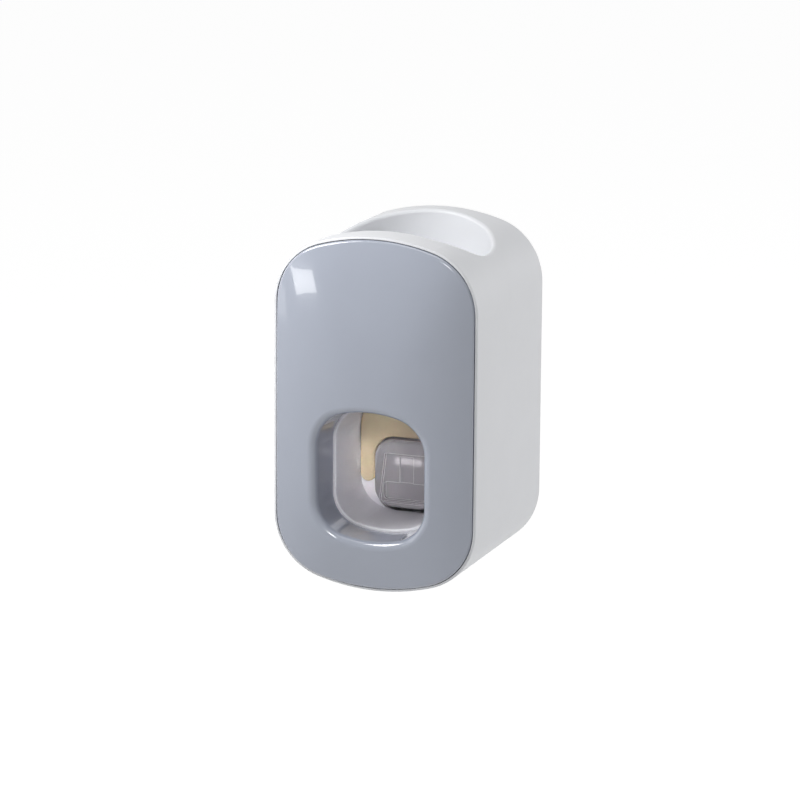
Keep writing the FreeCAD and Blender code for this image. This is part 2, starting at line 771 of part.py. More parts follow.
def make_core_frame():
    part = body("core_frame")
    wide = sketch_on(part, "XZ_Plane", "frame_back")
    rounded(wide, "-frame_half", "frame_half", "-frame_low", "frame_top", "6")
    pad(part, wide, "frame_thick")
    tray = sketch_on(part, "XZ_Plane", "pocket_back - pocket_back_wall")
    tray_outline(tray, "pocket_wall")
    pad(part, tray, "frame_depth - pocket_back + pocket_back_wall")
    bay = sketch_on(part, "XZ_Plane", "bay_back")
    foot = "pocket_high - window_corner - 2"
    polygon(bay, [
        ("-bay_half", foot), ("pocket_wall - bay_half", foot), ("pocket_wall - bay_half", "plate_low"),
        ("bay_half - pocket_wall", "plate_low"), ("bay_half - pocket_wall", foot), ("bay_half", foot),
        ("bay_half", "frame_top"), ("-bay_half", "frame_top"),
    ])
    pad(part, bay, "frame_back - bay_back")
    anvil = sketch_on(part, "YZ_Plane")
    near = "-pump_depth - pump_deep"
    polygon(anvil, [
        ("-frame_back", "pump_height - 3"), (f"{near} - 1.6", "pump_height - 3"),
        (f"{near} + 2.5", "pump_height + 7"), ("-frame_back", "pump_height + 7"),
    ])
    pad(part, anvil, "2 * pump_half - 2", both=True)
    spigot = sketch_on(part, "XY_Plane", "spigot_low")
    disc(spigot, "0", "-well_axis", "spigot_radius")
    pad(part, spigot, "plate_low - spigot_low")

    inner = sketch_on(part, "XZ_Plane", "frame_depth")
    tray_outline(inner, "0")
    pocket(part, inner, "frame_depth - pocket_back")
    soften(part, lambda e, p: at_depth("frame_depth")(e, p) and abs(p.x) < number("pocket_half + 0.2")
           and number("pocket_low - 0.2") < p.z < number("pocket_high + 0.2"), "pocket_wall * 0.35")
    arch = sketch_on(part, "XZ_Plane", "pocket_back")
    rounded(arch, "-arch_half", "arch_half", "pocket_low", "-arch_top", "arch_corner")
    pocket(part, arch, "pocket_back_wall")

    for side, inner_side in (("lug_inner", False), ("-lug_inner", True)):
        lug = sketch_on(part, "YZ_Plane", side)
        rounded(lug, "-pocket_back + pocket_back_wall - 0.5", "-pivot_depth + hub_radius",
                "-pivot_drop - hub_radius", "-pivot_drop + hub_radius + 4", "hub_radius - 0.1")
        pad(part, lug, "bay_half - lug_inner", backwards=inner_side)
    pin = sketch_on(part, "YZ_Plane")
    disc(pin, "-pivot_depth", "-pivot_drop", "pin_radius + 0.02")
    pocket(part, pin, "pin_half * 2", both=True)

    spout = sketch_on(part, "XY_Plane", "pocket_high + pocket_wall")
    disc(spout, "0", "-spout_depth", "spout_radius + 0.1")
    pocket(part, spout, "pocket_wall + 1")
    inlet = sketch_on(part, "XY_Plane", "frame_top")
    disc(inlet, "0", "-well_axis", "spigot_radius - 1.4")
    pocket(part, inlet, "frame_top - spigot_low")
    taps = sketch_on(part, "XY_Plane", "frame_top")
    for x, y in funnel_screw_places():
        disc(taps, x, y, "shank_hole")
    pocket(part, taps, "frame_thick")
    holes = sketch_on(part, "XZ_Plane", "frame_depth")
    for x, z in frame_boss_places():
        disc(holes, x, z, "shank_hole + 0.2")
    pocket(part, holes, "frame_thick")
    stakes = sketch_on(part, "XZ_Plane", "pocket_back")
    for x, z in guard_screw_places():
        disc(stakes, x, z, "shank_hole")
    pocket(part, stakes, "pocket_back_wall")
    node("core_frame", part)


# Splash guard: inverted U that closes the pocket's back round the paddle

def make_splash_guard():
    part = body("splash_guard")
    plate = sketch_on(part, "XZ_Plane", "guard_back")
    tray_outline(plate, "-0.3")
    pad(part, plate, "guard_thick")
    front = "guard_back + guard_thick"
    arch = sketch_on(part, "XZ_Plane", front)
    rounded(arch, "-arch_half", "arch_half", "pocket_low - 6", "-arch_top", "arch_corner")
    pocket(part, arch, "guard_thick")
    low = sketch_on(part, "XZ_Plane", front)
    rectangle(low, "-window_half", "window_half", "pocket_low - 6", "-guard_low")
    pocket(part, low, "guard_thick")

    def leg_end(edge, point):
        upright = abs(edge.tangentAt(edge.FirstParameter).y) > 0.9
        return upright and abs(point.z + number("guard_low")) < 0.01

    soften(part, leg_end, "(pocket_half - 0.3 - arch_half) * 0.49")
    soften(part, at_depth(front), "guard_thick * 0.25")
    holes = sketch_on(part, "XZ_Plane", front)
    for x, z in guard_screw_places():
        disc(holes, x, z, "shank_hole + 0.1")
    pocket(part, holes, "guard_thick")
    node("splash_guard", part)


# Push lever: hub, arm behind the pocket, paddle in the arch, upper arm

def make_push_lever():
    part = body("push_lever")
    plate = sketch_on(part, "XZ_Plane", "arm_back")
    near, far = "arm_half - 5", "-arm_half"
    waist = "-pivot_drop - hub_radius - 1.5"
    shoulder = "-pivot_drop + hub_radius + 0.5"
    polygon(plate, [
        (far, "-paddle_low"), ("arm_half", "-paddle_low"), ("arm_half", waist), (near, waist),
        (near, shoulder), ("arm_half", shoulder), ("arm_half", f"{shoulder} + 5"),
        ("6", f"{shoulder} + 8"), ("6", "arm_top"), ("-6", "arm_top"),
        ("-6", f"{shoulder} + 8"), (far, f"{shoulder} + 5"),
    ])
    pad(part, plate, "arm_thick")
    soften(part, lambda e, p: abs(e.tangentAt(e.FirstParameter).y) > 0.9 and p.z < number("1 - paddle_low"),
           "arm_half * 0.6")
    hub = sketch_on(part, "YZ_Plane", far)
    disc(hub, "-pivot_depth", "-pivot_drop", "hub_radius")
    pad(part, hub, "2 * arm_half - 5")
    paddle = sketch_on(part, "XZ_Plane", "arm_front - 0.5")
    rounded(paddle, "-paddle_half", "paddle_half", "-paddle_low", "-paddle_top",
            "arch_corner - paddle_play")
    pad(part, paddle, "paddle_front - arm_front + 0.5")
    soften(part, at_depth("paddle_front"), "0.8")
    recess = sketch_on(part, "XZ_Plane", "paddle_front")
    slant = "(paddle_low - paddle_top) * 0.12"
    top, low, ledge = "-paddle_top - 4", "-paddle_low + 1.4", "-paddle_low + 7"
    polygon(recess, [
        (f"-paddle_half + 0.9 + {slant}", top), ("-paddle_half + 1.6", low),
        ("paddle_half - 1.6", low), (f"paddle_half - 0.9 - {slant}", top),
    ])
    pocket(part, recess, "1.2")
    step = sketch_on(part, "XZ_Plane", "paddle_front - 1.2")
    rounded(step, "-paddle_half + 2.6", "paddle_half - 2.6", "-paddle_low + 2", ledge, "1")
    pocket(part, step, "1.2")
    groove = sketch_on(part, "XZ_Plane", "paddle_front - 1.2")
    rectangle(groove, "-2.1", "2.1", ledge, "-paddle_top - 5")
    pocket(part, groove, "0.7")
    hollow = sketch_on(part, "XZ_Plane", "arm_back")
    rounded(hollow, "-paddle_half + 1.8", "paddle_half - 1.8", "-paddle_low + 1.8",
            "-paddle_top - 1.8", "3")
    pocket(part, hollow, "paddle_front - arm_back - 4.2", backwards=True)
    stops = sketch_on(part, "XZ_Plane", "arm_front")
    for side in ("", "-"):
        disc(stops, f"{side}(arch_half + 1.1)", "-18", "1")
    pad(part, stops, "pocket_back - pocket_back_wall - arm_front - 0.15")
    bore = sketch_on(part, "YZ_Plane")
    disc(bore, "-pivot_depth", "-pivot_drop", "pin_radius + pin_play")
    pocket(part, bore, "pin_half * 2", both=True)
    node("push_lever", part)


def make_presser_foot():
    part = body("presser_foot")
    side = sketch_on(part, "YZ_Plane")
    low, high = "arm_top - 4.6", "arm_top + 1.2"
    polygon(side, [
        ("-foot_front - foot_slope", low), ("-arm_back + 0.6", low),
        ("-arm_back + 0.6", high), ("-foot_front", high),
    ])
    pad(part, side, "16", both=True)
    slot = sketch_on(part, "XY_Plane", "arm_top + 0.1")
    rectangle(slot, "-6.1", "6.1", "-arm_front - 0.1", "-arm_back + 0.1")
    pocket(part, slot, "20")
    back = sketch_on(part, "XZ_Plane", "arm_back - 0.7")
    rectangle(back, "-4.6", "4.6", "arm_top - 12", "arm_top - 1.5")
    pocket(part, back, "1", backwards=True)
    soften(part, lambda e, p: p.y < -number("foot_front") + 0.1, "1")
    node("presser_foot", part)


# Pivot pin, clips and return spring

def make_pivot_pin():
    pin = DOC.addObject("Part::Cylinder", "pin_rod")
    bind(pin, "Radius", "pin_radius")
    bind(pin, "Height", "2 * pin_half")
    pin.Placement.Rotation = FreeCAD.Rotation(FreeCAD.Vector(0, 1, 0), 90)
    bind(pin, "Placement.Base.x", "-pin_half")
    bind(pin, "Placement.Base.y", "-pivot_depth")
    bind(pin, "Placement.Base.z", "-pivot_drop")
    DOC.recompute()
    bevel = DOC.addObject("Part::Chamfer", "pivot_pin")
    bevel.Base = pin
    size = number("pin_radius * 0.2")
    bevel.Edges = [(index, size, size) for index, edge in enumerate(pin.Shape.Edges, start=1)
                   if edge.Closed and len(edge.Vertexes) == 1]
    DOC.recompute()
    node("pivot_pin", bevel)


def make_pin_clips():
    part = body("pin_clips")
    for side, backwards in (("bay_half + 0.1", False), ("-bay_half - 0.1", True)):
        ring = sketch_on(part, "YZ_Plane", side)
        disc(ring, "-pivot_depth", "-pivot_drop", "pin_radius + 0.02")
        disc(ring, "-pivot_depth", "-pivot_drop", "pin_radius * 2")
        pad(part, ring, "0.7", backwards)
    node("pin_clips", part)


def bow(start, corner, end):
    """The arc that touches both legs of a corner at their ends."""
    chord = (start + end) * 0.5
    lift = corner - chord
    half = (end - start).Length / 2
    rise = half * math.tan(math.atan2(lift.Length, half) / 2)
    return Part.Arc(start, chord + lift * (rise / lift.Length), end).toShape()


def biarc(start, along, end, onto):
    """Two arcs that leave one point along a direction and reach another along a second direction."""
    span = end - start
    sweep = span.dot(along + onto)
    spread = 2 * (1 - along.dot(onto)) * span.dot(span)
    reach = span.dot(span) / (sweep + math.sqrt(sweep ** 2 + spread))
    leaving, arriving = start + along * reach, end - onto * reach
    middle = (leaving + arriving) * 0.5
    return [bow(start, leaving, middle), bow(middle, arriving, end)]


def make_return_spring():
    """A torsion spring: turns round the pin, one leg on the frame and one on the lever's arm."""
    wire, radius = number("wire_radius"), number("coil_radius")
    pitch, quarters = number("coil_pitch"), int(number("coil_turns * 4"))
    leg, straight = number("spring_leg"), number("spring_straight")
    side = number("arm_half - 5 + 0.4 + wire_radius")
    centre = FreeCAD.Vector(0, -number("pivot_depth"), -number("pivot_drop"))
    stops = []
    for quarter in range(quarters + 1):
        turn = math.pi / 2 * quarter
        place = FreeCAD.Vector(side + pitch * quarter / 4, -radius * math.cos(turn), radius * math.sin(turn))
        heading = FreeCAD.Vector(pitch / (2 * math.pi), radius * math.sin(turn), radius * math.cos(turn))
        stops.append((centre + place, heading.normalize()))
    wall = -number("pocket_back - pocket_back_wall - 0.1") + wire
    arm = -number("arm_front + 0.1") - wire
    coil_start, coil_end = stops[0][0], stops[-1][0]
    low = FreeCAD.Vector(coil_start.x, wall, coil_start.z - leg)
    high = FreeCAD.Vector(coil_end.x, arm, coil_end.z + leg)
    rising, leaving = (coil_start - low).normalize(), (high - coil_end).normalize()
    stops.insert(0, (low + rising * straight, rising))
    stops.append((high - leaving * straight, leaving))
    edges = [Part.makeLine(low, stops[0][0])]
    for before, after in zip(stops, stops[1:]):
        edges += biarc(*before, *after)
    edges.append(Part.makeLine(stops[-1][0], high))
    section = Part.Wire(Part.makeCircle(wire, low, rising))
    spring = DOC.addObject("Part::Feature", "return_spring")
    spring.Shape = Part.Wire(edges).makePipeShell([section], True, False)
    spring.Placement = FreeCAD.Placement()
    print(f"return_spring gap between turns {pitch - 2 * wire:.2f} mm")
    node("return_spring", spring)


# Pump: silicone chamber, collar, one-way valves, and the socket for the tube's neck

def chamber_loft(part, kind, shrink, over):
    """The pump chamber's skin through three sections, from the tube's neck to the spout."""
    sections = [
        (f"spigot_low + {over}", "-well_axis", "spigot_radius + 1.5", "spigot_radius + 1.5"),
        ("pump_height", "-pump_depth", "pump_half", "pump_deep"),
        (f"pocket_high + pocket_wall + 1.4 - {over}", "-spout_depth", "5.6", "5.6"),
    ]
    drawn = []
    for height, middle, wide, deep in sections:
        sketch = sketch_on(part, "XY_Plane", height)
        rounded(sketch, f"-({wide}) + {shrink}", f"{wide} - {shrink}",
                f"{middle} - ({deep}) + {shrink}", f"{middle} + {deep} - {shrink}",
                f"{deep} - 0.3 - {shrink}")
        drawn.append(sketch)
    made = feature(part, kind, drawn[0])
    made.Sections = [(sketch, [""]) for sketch in drawn[1:]]
    made.Ruled = True
    DOC.recompute()


def make_pump_chamber():
    part = body("pump_chamber")
    chamber_loft(part, "AdditiveLoft", "0", "0")
    neck = sketch_on(part, "XY_Plane", "spigot_low - 0.5")
    disc(neck, "0", "-well_axis", "spigot_radius + 1.5")
    pad(part, neck, "plate_low - spigot_low + 0.4")
    chamber_loft(part, "SubtractiveLoft", "pump_wall", "0.01")
    bore = sketch_on(part, "XY_Plane", "plate_low")
    disc(bore, "0", "-well_axis", "spigot_radius + 0.05")
    pocket(part, bore, "plate_low - spigot_low + 0.3")
    node("pump_chamber", part)


def make_inlet_collar():
    part = body("inlet_collar")
    ring = sketch_on(part, "XY_Plane", "spigot_low + 0.6")
    disc(ring, "0", "-well_axis", "spigot_radius + 1.55")
    disc(ring, "0", "-well_axis", "spigot_radius + 3")
    pad(part, ring, "plate_low - spigot_low - 1")
    node("inlet_collar", part)


def make_valve(label, depth, outline, tip, slit):
    """A one-way valve: a turned silicone body with a slit across its beak."""
    part = body(label)
    profile = sketch_on(part, "XZ_Plane", depth)
    polygon(profile, outline)
    revolve(part, profile)
    cut = sketch_on(part, "XY_Plane", tip)
    rectangle(cut, f"-({slit})", slit, f"-{depth} - 0.25", f"-{depth} + 0.25")
    pocket(part, cut, "4", backwards=True)
    node(label, part)


def make_inlet_valve():
    seat, tip = "frame_top + 0.05", "spigot_low - 3"
    tube = "spigot_radius - 1.6"
    make_valve("inlet_valve", "well_axis", [
        ("0", tip), ("1.2", tip), (tube, "spigot_low + 1.5"), (tube, seat),
        ("neck_radius + 0.6", seat), ("neck_radius + 0.6", f"{seat} + 1.2"),
        (f"{tube} - 1.3", f"{seat} + 1.2"), (f"{tube} - 1.3", "spigot_low + 2"), ("0", f"{tip} + 1.3"),
    ], tip, "1.5")


def make_outlet_valve():
    seat, tip = "pocket_high + pocket_wall + 0.1", "-spout_tip"
    make_valve("outlet_valve", "spout_depth", [
        ("0", tip), ("2.2", tip), ("spout_radius", "pocket_high - 0.2"), ("spout_radius", seat),
        ("6", seat), ("6", f"{seat} + 1.2"), ("spout_radius - 1.4", f"{seat} + 1.2"),
        ("spout_radius - 1.4", "pocket_high + 0.4"), ("0", f"{tip} + 0.8"),
    ], tip, "1.8")


def make_socket_seal():
    part = body("socket_seal")
    profile = sketch_on(part, "XZ_Plane", "well_axis")
    seat = "frame_top + 0.05"
    polygon(profile, [
        ("neck_radius", f"{seat} + 1.3"), ("neck_radius + 0.9", f"{seat} + 1.3"),
        ("neck_radius + 0.9", seat), ("seal_flange", seat), ("seal_flange", f"{seat} + 1.8"),
        ("seal_radius", f"{seat} + 1.8"), ("seal_radius", "seal_top"),
        ("neck_radius + 0.8", "seal_top"), ("neck_radius", "seal_top - 0.8"),
    ])
    revolve(part, profile)
    soften(part, lambda e, p: abs(p.z - number("seal_top")) < 1e-3
           and math.hypot(p.x, p.y + number("well_axis")) > number("seal_radius - 0.1"), "0.8")
    node("socket_seal", part)


# Tube funnel: dished floor of the tube well

def make_tube_funnel():
    dish = body("funnel_dish")
    profile = sketch_on(dish, "XZ_Plane", "well_axis")
    hole, foot = "seal_radius + 0.25", "frame_top + 1.9"
    polygon(profile, [
        (hole, foot), ("seal_flange", foot), ("seal_flange", "well_bottom - 4.6"),
        ("well_half + 7", "well_bottom - 1.8"), ("well_half + 7", "well_bottom"),
        (hole, "well_bottom - 3"),
    ])
    revolve(dish, profile)
    limit = prism("funnel_limit", "XY_Plane", foot, "10", lambda s: well_outline(s, "well_wall"))
    floor = DOC.addObject("Part::Common", "funnel_floor")
    floor.Base, floor.Tool = dish, limit
    wall = prism("funnel_wall", "XY_Plane", "well_bottom - 4.2", "4.1",
                 lambda s: [well_outline(s, "well_wall"), well_outline(s, "0")])
    posts = prism("funnel_posts", "XY_Plane", "frame_top + 0.1", "well_bottom - frame_top - 2.8",
                  lambda s: [disc(s, x, y, "screw_head + 0.9") for x, y in funnel_screw_places()])
    solid = boolean("MultiFuse", "funnel_solid", floor, wall, posts)
    seats = prism("funnel_seats", "XY_Plane", "well_bottom - 3.6", "4",
                  lambda s: [disc(s, x, y, "screw_head + 0.3") for x, y in funnel_screw_places()])
    shanks = prism("funnel_shanks", "XY_Plane", "frame_top", "8",
                   lambda s: [disc(s, x, y, "shank_hole + 0.1") for x, y in funnel_screw_places()])
    cutters = boolean("MultiFuse", "funnel_cutters", seats, shanks)
    node("tube_funnel", boolean("Cut", "tube_funnel", solid, cutters))


def make_screws():
    screws("rear_screws", "XZ_Plane", four_corners("boss_across", "boss_up"),
           "cover_depth", "rear_boss_length + 0.8", backwards=True)
    screws("core_screws", "XZ_Plane", frame_boss_places(), "frame_depth", "10.2", backwards=False)
    screws("guard_screws", "XZ_Plane", guard_screw_places(), "guard_back + guard_thick",
           "guard_thick + 1.6", backwards=False, head="screw_head * 0.7")
    screws("funnel_screws", "XY_Plane", funnel_screw_places(), "well_bottom - 3.6",
           "well_bottom - frame_top - 2.2", backwards=False)


def check_and_write():
    """Stops on any failed object, then writes each sub-part to its own file."""
    DOC.recompute()
    failed = [item.Label for item in DOC.Objects
              if "Invalid" in item.State or "Error" in item.State]
    failed += [item.Label for item in NODES if item.Shape.isNull() or not item.Shape.isValid()]
    if failed:
        raise RuntimeError("failed: " + ", ".join(failed))
    os.makedirs("parts", exist_ok=True)
    for item in NODES:
        item.Shape.exportStep(f"parts/{item.Label}.step")
        print(f"{item.Label}: {len(item.Shape.Solids)} solid(s), {item.Shape.Volume:.0f} mm3")


for make in (make_adhesive_pad, make_wall_bracket, make_rear_cover, make_outer_shell,
             make_front_panel, make_core_frame, make_splash_guard, make_push_lever,
             make_presser_foot, make_pivot_pin, make_pin_clips, make_return_spring,
             make_pump_chamber, make_inlet_collar, make_inlet_valve, make_outlet_valve,
             make_socket_seal, make_tube_funnel, make_screws):
    make()
check_and_write()
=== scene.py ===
"""Looks of a wall-hung toothpaste dispenser: finishes, soft pieces, small fasteners, light and camera.

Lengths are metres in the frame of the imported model: +Z up, the wall is the plane Y = 0 and the
front panel faces -Y. Sizes named in millimetres carry the factor MM.
"""

import logging
import math
from dataclasses import dataclass, field
from enum import Enum
from functools import cache
from typing import Callable

import bpy
from mathutils import Matrix, Quaternion, Vector


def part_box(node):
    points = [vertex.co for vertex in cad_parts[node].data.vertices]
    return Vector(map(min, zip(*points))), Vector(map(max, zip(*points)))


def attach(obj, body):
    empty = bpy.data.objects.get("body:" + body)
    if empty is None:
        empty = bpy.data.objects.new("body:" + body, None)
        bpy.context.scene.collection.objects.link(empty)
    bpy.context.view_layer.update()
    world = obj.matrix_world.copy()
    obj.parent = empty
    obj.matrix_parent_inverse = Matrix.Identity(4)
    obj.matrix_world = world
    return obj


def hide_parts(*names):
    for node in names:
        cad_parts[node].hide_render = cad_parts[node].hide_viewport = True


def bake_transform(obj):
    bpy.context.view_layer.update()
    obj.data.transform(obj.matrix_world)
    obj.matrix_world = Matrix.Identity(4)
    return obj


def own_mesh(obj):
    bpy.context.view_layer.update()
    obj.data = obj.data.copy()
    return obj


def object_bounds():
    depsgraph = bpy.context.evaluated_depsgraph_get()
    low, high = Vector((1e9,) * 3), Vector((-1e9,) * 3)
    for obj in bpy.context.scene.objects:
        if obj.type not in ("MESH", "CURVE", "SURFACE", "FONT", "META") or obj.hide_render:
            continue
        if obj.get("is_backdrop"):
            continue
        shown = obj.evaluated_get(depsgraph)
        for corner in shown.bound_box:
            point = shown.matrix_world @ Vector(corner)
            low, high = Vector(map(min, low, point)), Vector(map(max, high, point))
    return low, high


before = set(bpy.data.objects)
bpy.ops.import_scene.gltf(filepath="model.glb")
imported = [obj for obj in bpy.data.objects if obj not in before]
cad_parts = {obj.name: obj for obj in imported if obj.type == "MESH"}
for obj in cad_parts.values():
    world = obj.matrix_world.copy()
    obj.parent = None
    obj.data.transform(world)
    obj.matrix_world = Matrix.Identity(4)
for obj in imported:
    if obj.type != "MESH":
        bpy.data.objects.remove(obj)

MM = 0.001
LOG = logging.getLogger("dispenser")
Colour = tuple[float, float, float]


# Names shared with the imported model

class Body(Enum):
    """The bodies that the soft pieces ride on."""

    WALL_MOUNT = "wall_mount"
    HOUSING = "housing"
    LEVER = "lever"


class Slot(Enum):
    """The record's material slots of the soft and wound pieces."""

    PAD_FOAM = "pad_foam"
    SILICONE = "silicone"
    STEEL = "steel"


# Finishes

class Graph:
    """A material's node tree, with short ways to add the textures that every finish uses."""

    def __init__(self, name: str) -> None:
        """Starts a material with one Principled shader.

        Args:
            name: The material's name.
        """
        self.material = bpy.data.materials.new(name)
        self.material.use_nodes = True
        self.tree = self.material.node_tree
        self.shader = self.tree.nodes["Principled BSDF"]
        self.place = self.add("ShaderNodeTexCoord").outputs["Object"]

    def add(self, kind: str, **inputs: object) -> bpy.types.Node:
        """Adds a node.

        Args:
            kind: The node's type name.
            inputs: Values or sockets for its inputs, by name with _ for a space.

        Returns:
            The node.
        """
        node = self.tree.nodes.new(kind)
        for name, value in inputs.items():
            self.feed(node, name.replace("_", " "), value)
        return node

    def feed(self, node: bpy.types.Node, name: str, value: object) -> None:
        """Sets an input to a value, or links it to a socket.

        Args:
            node: The node with the input.
            name: The input's name.
            value: A number, a colour or an output socket.
        """
        if isinstance(value, bpy.types.NodeSocket):
            self.tree.links.new(value, node.inputs[name])
        elif isinstance(value, tuple) and len(value) == 3 and node.inputs[name].type == "RGBA":
            node.inputs[name].default_value = (*value, 1.0)
        else:
            node.inputs[name].default_value = value

    def shade(self, **inputs: object) -> None:
        """Sets or links inputs of the shader.

        Args:
            inputs: Values or sockets by name, with _ for a space.
        """
        for name, value in inputs.items():
            self.feed(self.shader, name.replace("_", " "), value)

    def noise(self, size: float, detail: float = 3.0) -> bpy.types.NodeSocket:
        """Cloudy noise in object coordinates.

        Args:
            size: Metres from one bump to the next.
            detail: Octaves.

        Returns:
            The noise's value from 0 to 1.
        """
        clouds = self.add("ShaderNodeTexNoise", Vector=self.place, Scale=1.0 / size, Detail=detail)
        return clouds.outputs[0]

    def between(self, value: bpy.types.NodeSocket, low: float, high: float) -> bpy.types.NodeSocket:
        """Spreads the middle of a noise over a range.

        Args:
            value: The noise.
            low: The value at its low end.
            high: The value at its high end.

        Returns:
            The mapped socket.
        """
        spread = self.add(
            "ShaderNodeMapRange", Value=value, From_Min=0.3, From_Max=0.7, To_Min=low, To_Max=high)
        return spread.outputs[0]

    def mix(self, share: bpy.types.NodeSocket, first: Colour, second: Colour) -> bpy.types.NodeSocket:
        """Mixes two colours.

        Args:
            share: How much of the second colour shows.
            first: Colour at 0.
            second: Colour at 1.

        Returns:
            The colour socket.
        """
        node = self.tree.nodes.new("ShaderNodeMix")
        node.data_type = "RGBA"
        self.tree.links.new(share, node.inputs[0])
        node.inputs[6].default_value = (*first, 1.0)
        node.inputs[7].default_value = (*second, 1.0)
        return node.outputs[2]

    def edges(self, width: float) -> bpy.types.NodeSocket:
        """Finds a piece's edges, where a rounded normal leaves the true one.

        Args:
            width: Metres that an edge is taken to reach.

        Returns:
            A socket that is 1 at edges and 0 on plain faces.
        """
        rounded = self.add("ShaderNodeBevel", Radius=width)
        plain = self.add("ShaderNodeNewGeometry")
        likeness = self.tree.nodes.new("ShaderNodeVectorMath")
        likeness.operation = "DOT_PRODUCT"
        self.tree.links.new(rounded.outputs[0], likeness.inputs[0])
        self.tree.links.new(plain.outputs["Normal"], likeness.inputs[1])
        alike = likeness.outputs["Value"]
        share = self.add(
            "ShaderNodeMapRange", Value=alike, From_Min=0.99, From_Max=0.85, To_Min=0.0, To_Max=1.0)
        return share.outputs[0]

    def bump(self, height: bpy.types.NodeSocket, depth: float, strength: float) -> bpy.types.NodeSocket:
        """A relief.

        Args:
            height: The height map.
            depth: Metres of relief.
            strength: How much of it is felt.

        Returns:
            The normal.
        """
        return self.add("ShaderNodeBump", Height=height, Distance=depth, Strength=strength).outputs[0]


def tinted(colour: Colour, factor: float) -> Colour:
    """A colour made lighter or darker.

    Args:
        colour: The colour.
        factor: What its parts are multiplied by.

    Returns:
        The new colour, with no part above 1.
    """
    return tuple(min(1.0, part * factor) for part in colour)


@dataclass(frozen=True)
class Moulding:
    """A moulded plastic with the tool's fine grain, faint flow marks and handling marks."""

    name: str
    colour: Colour
    roughness: float
    grain: float
    relief: float
    drift: float = 0.02
    coat: float = 0.0
    coat_roughness: float = 0.03
    scatter: float = 0.0
    scatter_depth: float = 1.5 * MM
    flow_marks: float = 14 * MM
    wear_marks: float = 2.5 * MM
    wear: float = 0.08

    def make(self) -> bpy.types.Material:
        """Makes the material.

        Returns:
            The material.
        """
        graph = Graph(self.name)
        flow = graph.between(graph.noise(self.flow_marks), 0.0, 1.0)
        fine = graph.noise(self.grain, 2.0)
        worn = graph.noise(self.wear_marks, 4.0)
        smoother, rougher = self.roughness * (1 - self.wear), self.roughness * (1 + self.wear)
        dark, light = tinted(self.colour, 1 - self.drift), tinted(self.colour, 1 + self.drift)
        graph.shade(
            Base_Color=graph.mix(flow, dark, light),
            Roughness=graph.between(worn, smoother, rougher),
            Normal=graph.bump(fine, self.grain * 0.25, self.relief),
            IOR=1.5,
            Coat_Weight=self.coat,
            Coat_Roughness=self.coat_roughness,
            Subsurface_Weight=self.scatter,
            Subsurface_Radius=(1.0, 1.0, 1.0),
            Subsurface_Scale=self.scatter_depth,
        )
        return graph.material


@dataclass(frozen=True)
class ClearMoulding:
    """A see-through plastic, slightly hazy, with a paler, less clear painted highlight along its edges."""

    name: str
    colour: Colour
    edge_highlight_colour: Colour
    roughness: float
    clearness: float
    edge_width: float
    haze_marks: float = 6 * MM
    ripple: float = 1.2 * MM
    ripple_depth: float = 0.02 * MM

    def make(self) -> bpy.types.Material:
        """Makes the material.

        Returns:
            The material.
        """
        graph = Graph(self.name)
        haze = graph.noise(self.haze_marks)
        # Painted highlight: the edge mask gives the edges a paler colour and less clearness, standing in
        # for light caught by rounded edges.
        edges = graph.edges(self.edge_width)
        clear = graph.add("ShaderNodeMapRange", Value=edges, To_Min=self.clearness, To_Max=0.0)
        graph.shade(
            Base_Color=graph.mix(edges, self.colour, self.edge_highlight_colour),
            Roughness=graph.between(haze, self.roughness * 0.8, self.roughness * 1.2),
            Normal=graph.bump(graph.noise(self.ripple, 2.0), self.ripple_depth, 0.15),
            IOR=1.49,
            Transmission_Weight=clear.outputs[0],
        )
        return graph.material


@dataclass(frozen=True)
class BrightSteel:
    """Plain steel with fine drawn lines."""

    name: str
    colour: Colour
    roughness: float
    lines: float = 0.25 * MM
    line_depth: float = 0.01 * MM
    stains: float = 1.5 * MM

    def make(self) -> bpy.types.Material:
        """Makes the material.

        Returns:
            The material.
        """
        graph = Graph(self.name)
        drawn = graph.noise(self.lines, 3.0)
        stain = graph.between(graph.noise(self.stains), 0.0, 1.0)
        graph.shade(
            Base_Color=graph.mix(stain, tinted(self.colour, 0.9), self.colour),
            Roughness=graph.between(drawn, self.roughness * 0.7, self.roughness * 1.4),
            Normal=graph.bump(drawn, self.line_depth, 0.3),
            Metallic=1.0,
        )
        return graph.material


@dataclass(frozen=True)
class FoamTape:
    """Closed-cell foam with a tacky skin."""

    name: str
    colour: Colour
    cell: float = 0.35 * MM
    cell_depth: float = 0.08 * MM
    skin_marks: float = 0.8 * MM

    def make(self) -> bpy.types.Material:
        """Makes the material.

        Returns:
            The material.
        """
        graph = Graph(self.name)
        cells = graph.add("ShaderNodeTexVoronoi", Vector=graph.place, Scale=1.0 / self.cell).outputs[0]
        graph.shade(
            Base_Color=graph.mix(cells, tinted(self.colour, 0.93), tinted(self.colour, 1.05)),
            Roughness=graph.between(graph.noise(self.skin_marks), 0.7, 0.95),
            Normal=graph.bump(cells, self.cell_depth, 0.6),
        )
        return graph.material


Finish = Moulding | ClearMoulding | BrightSteel | FoamTape

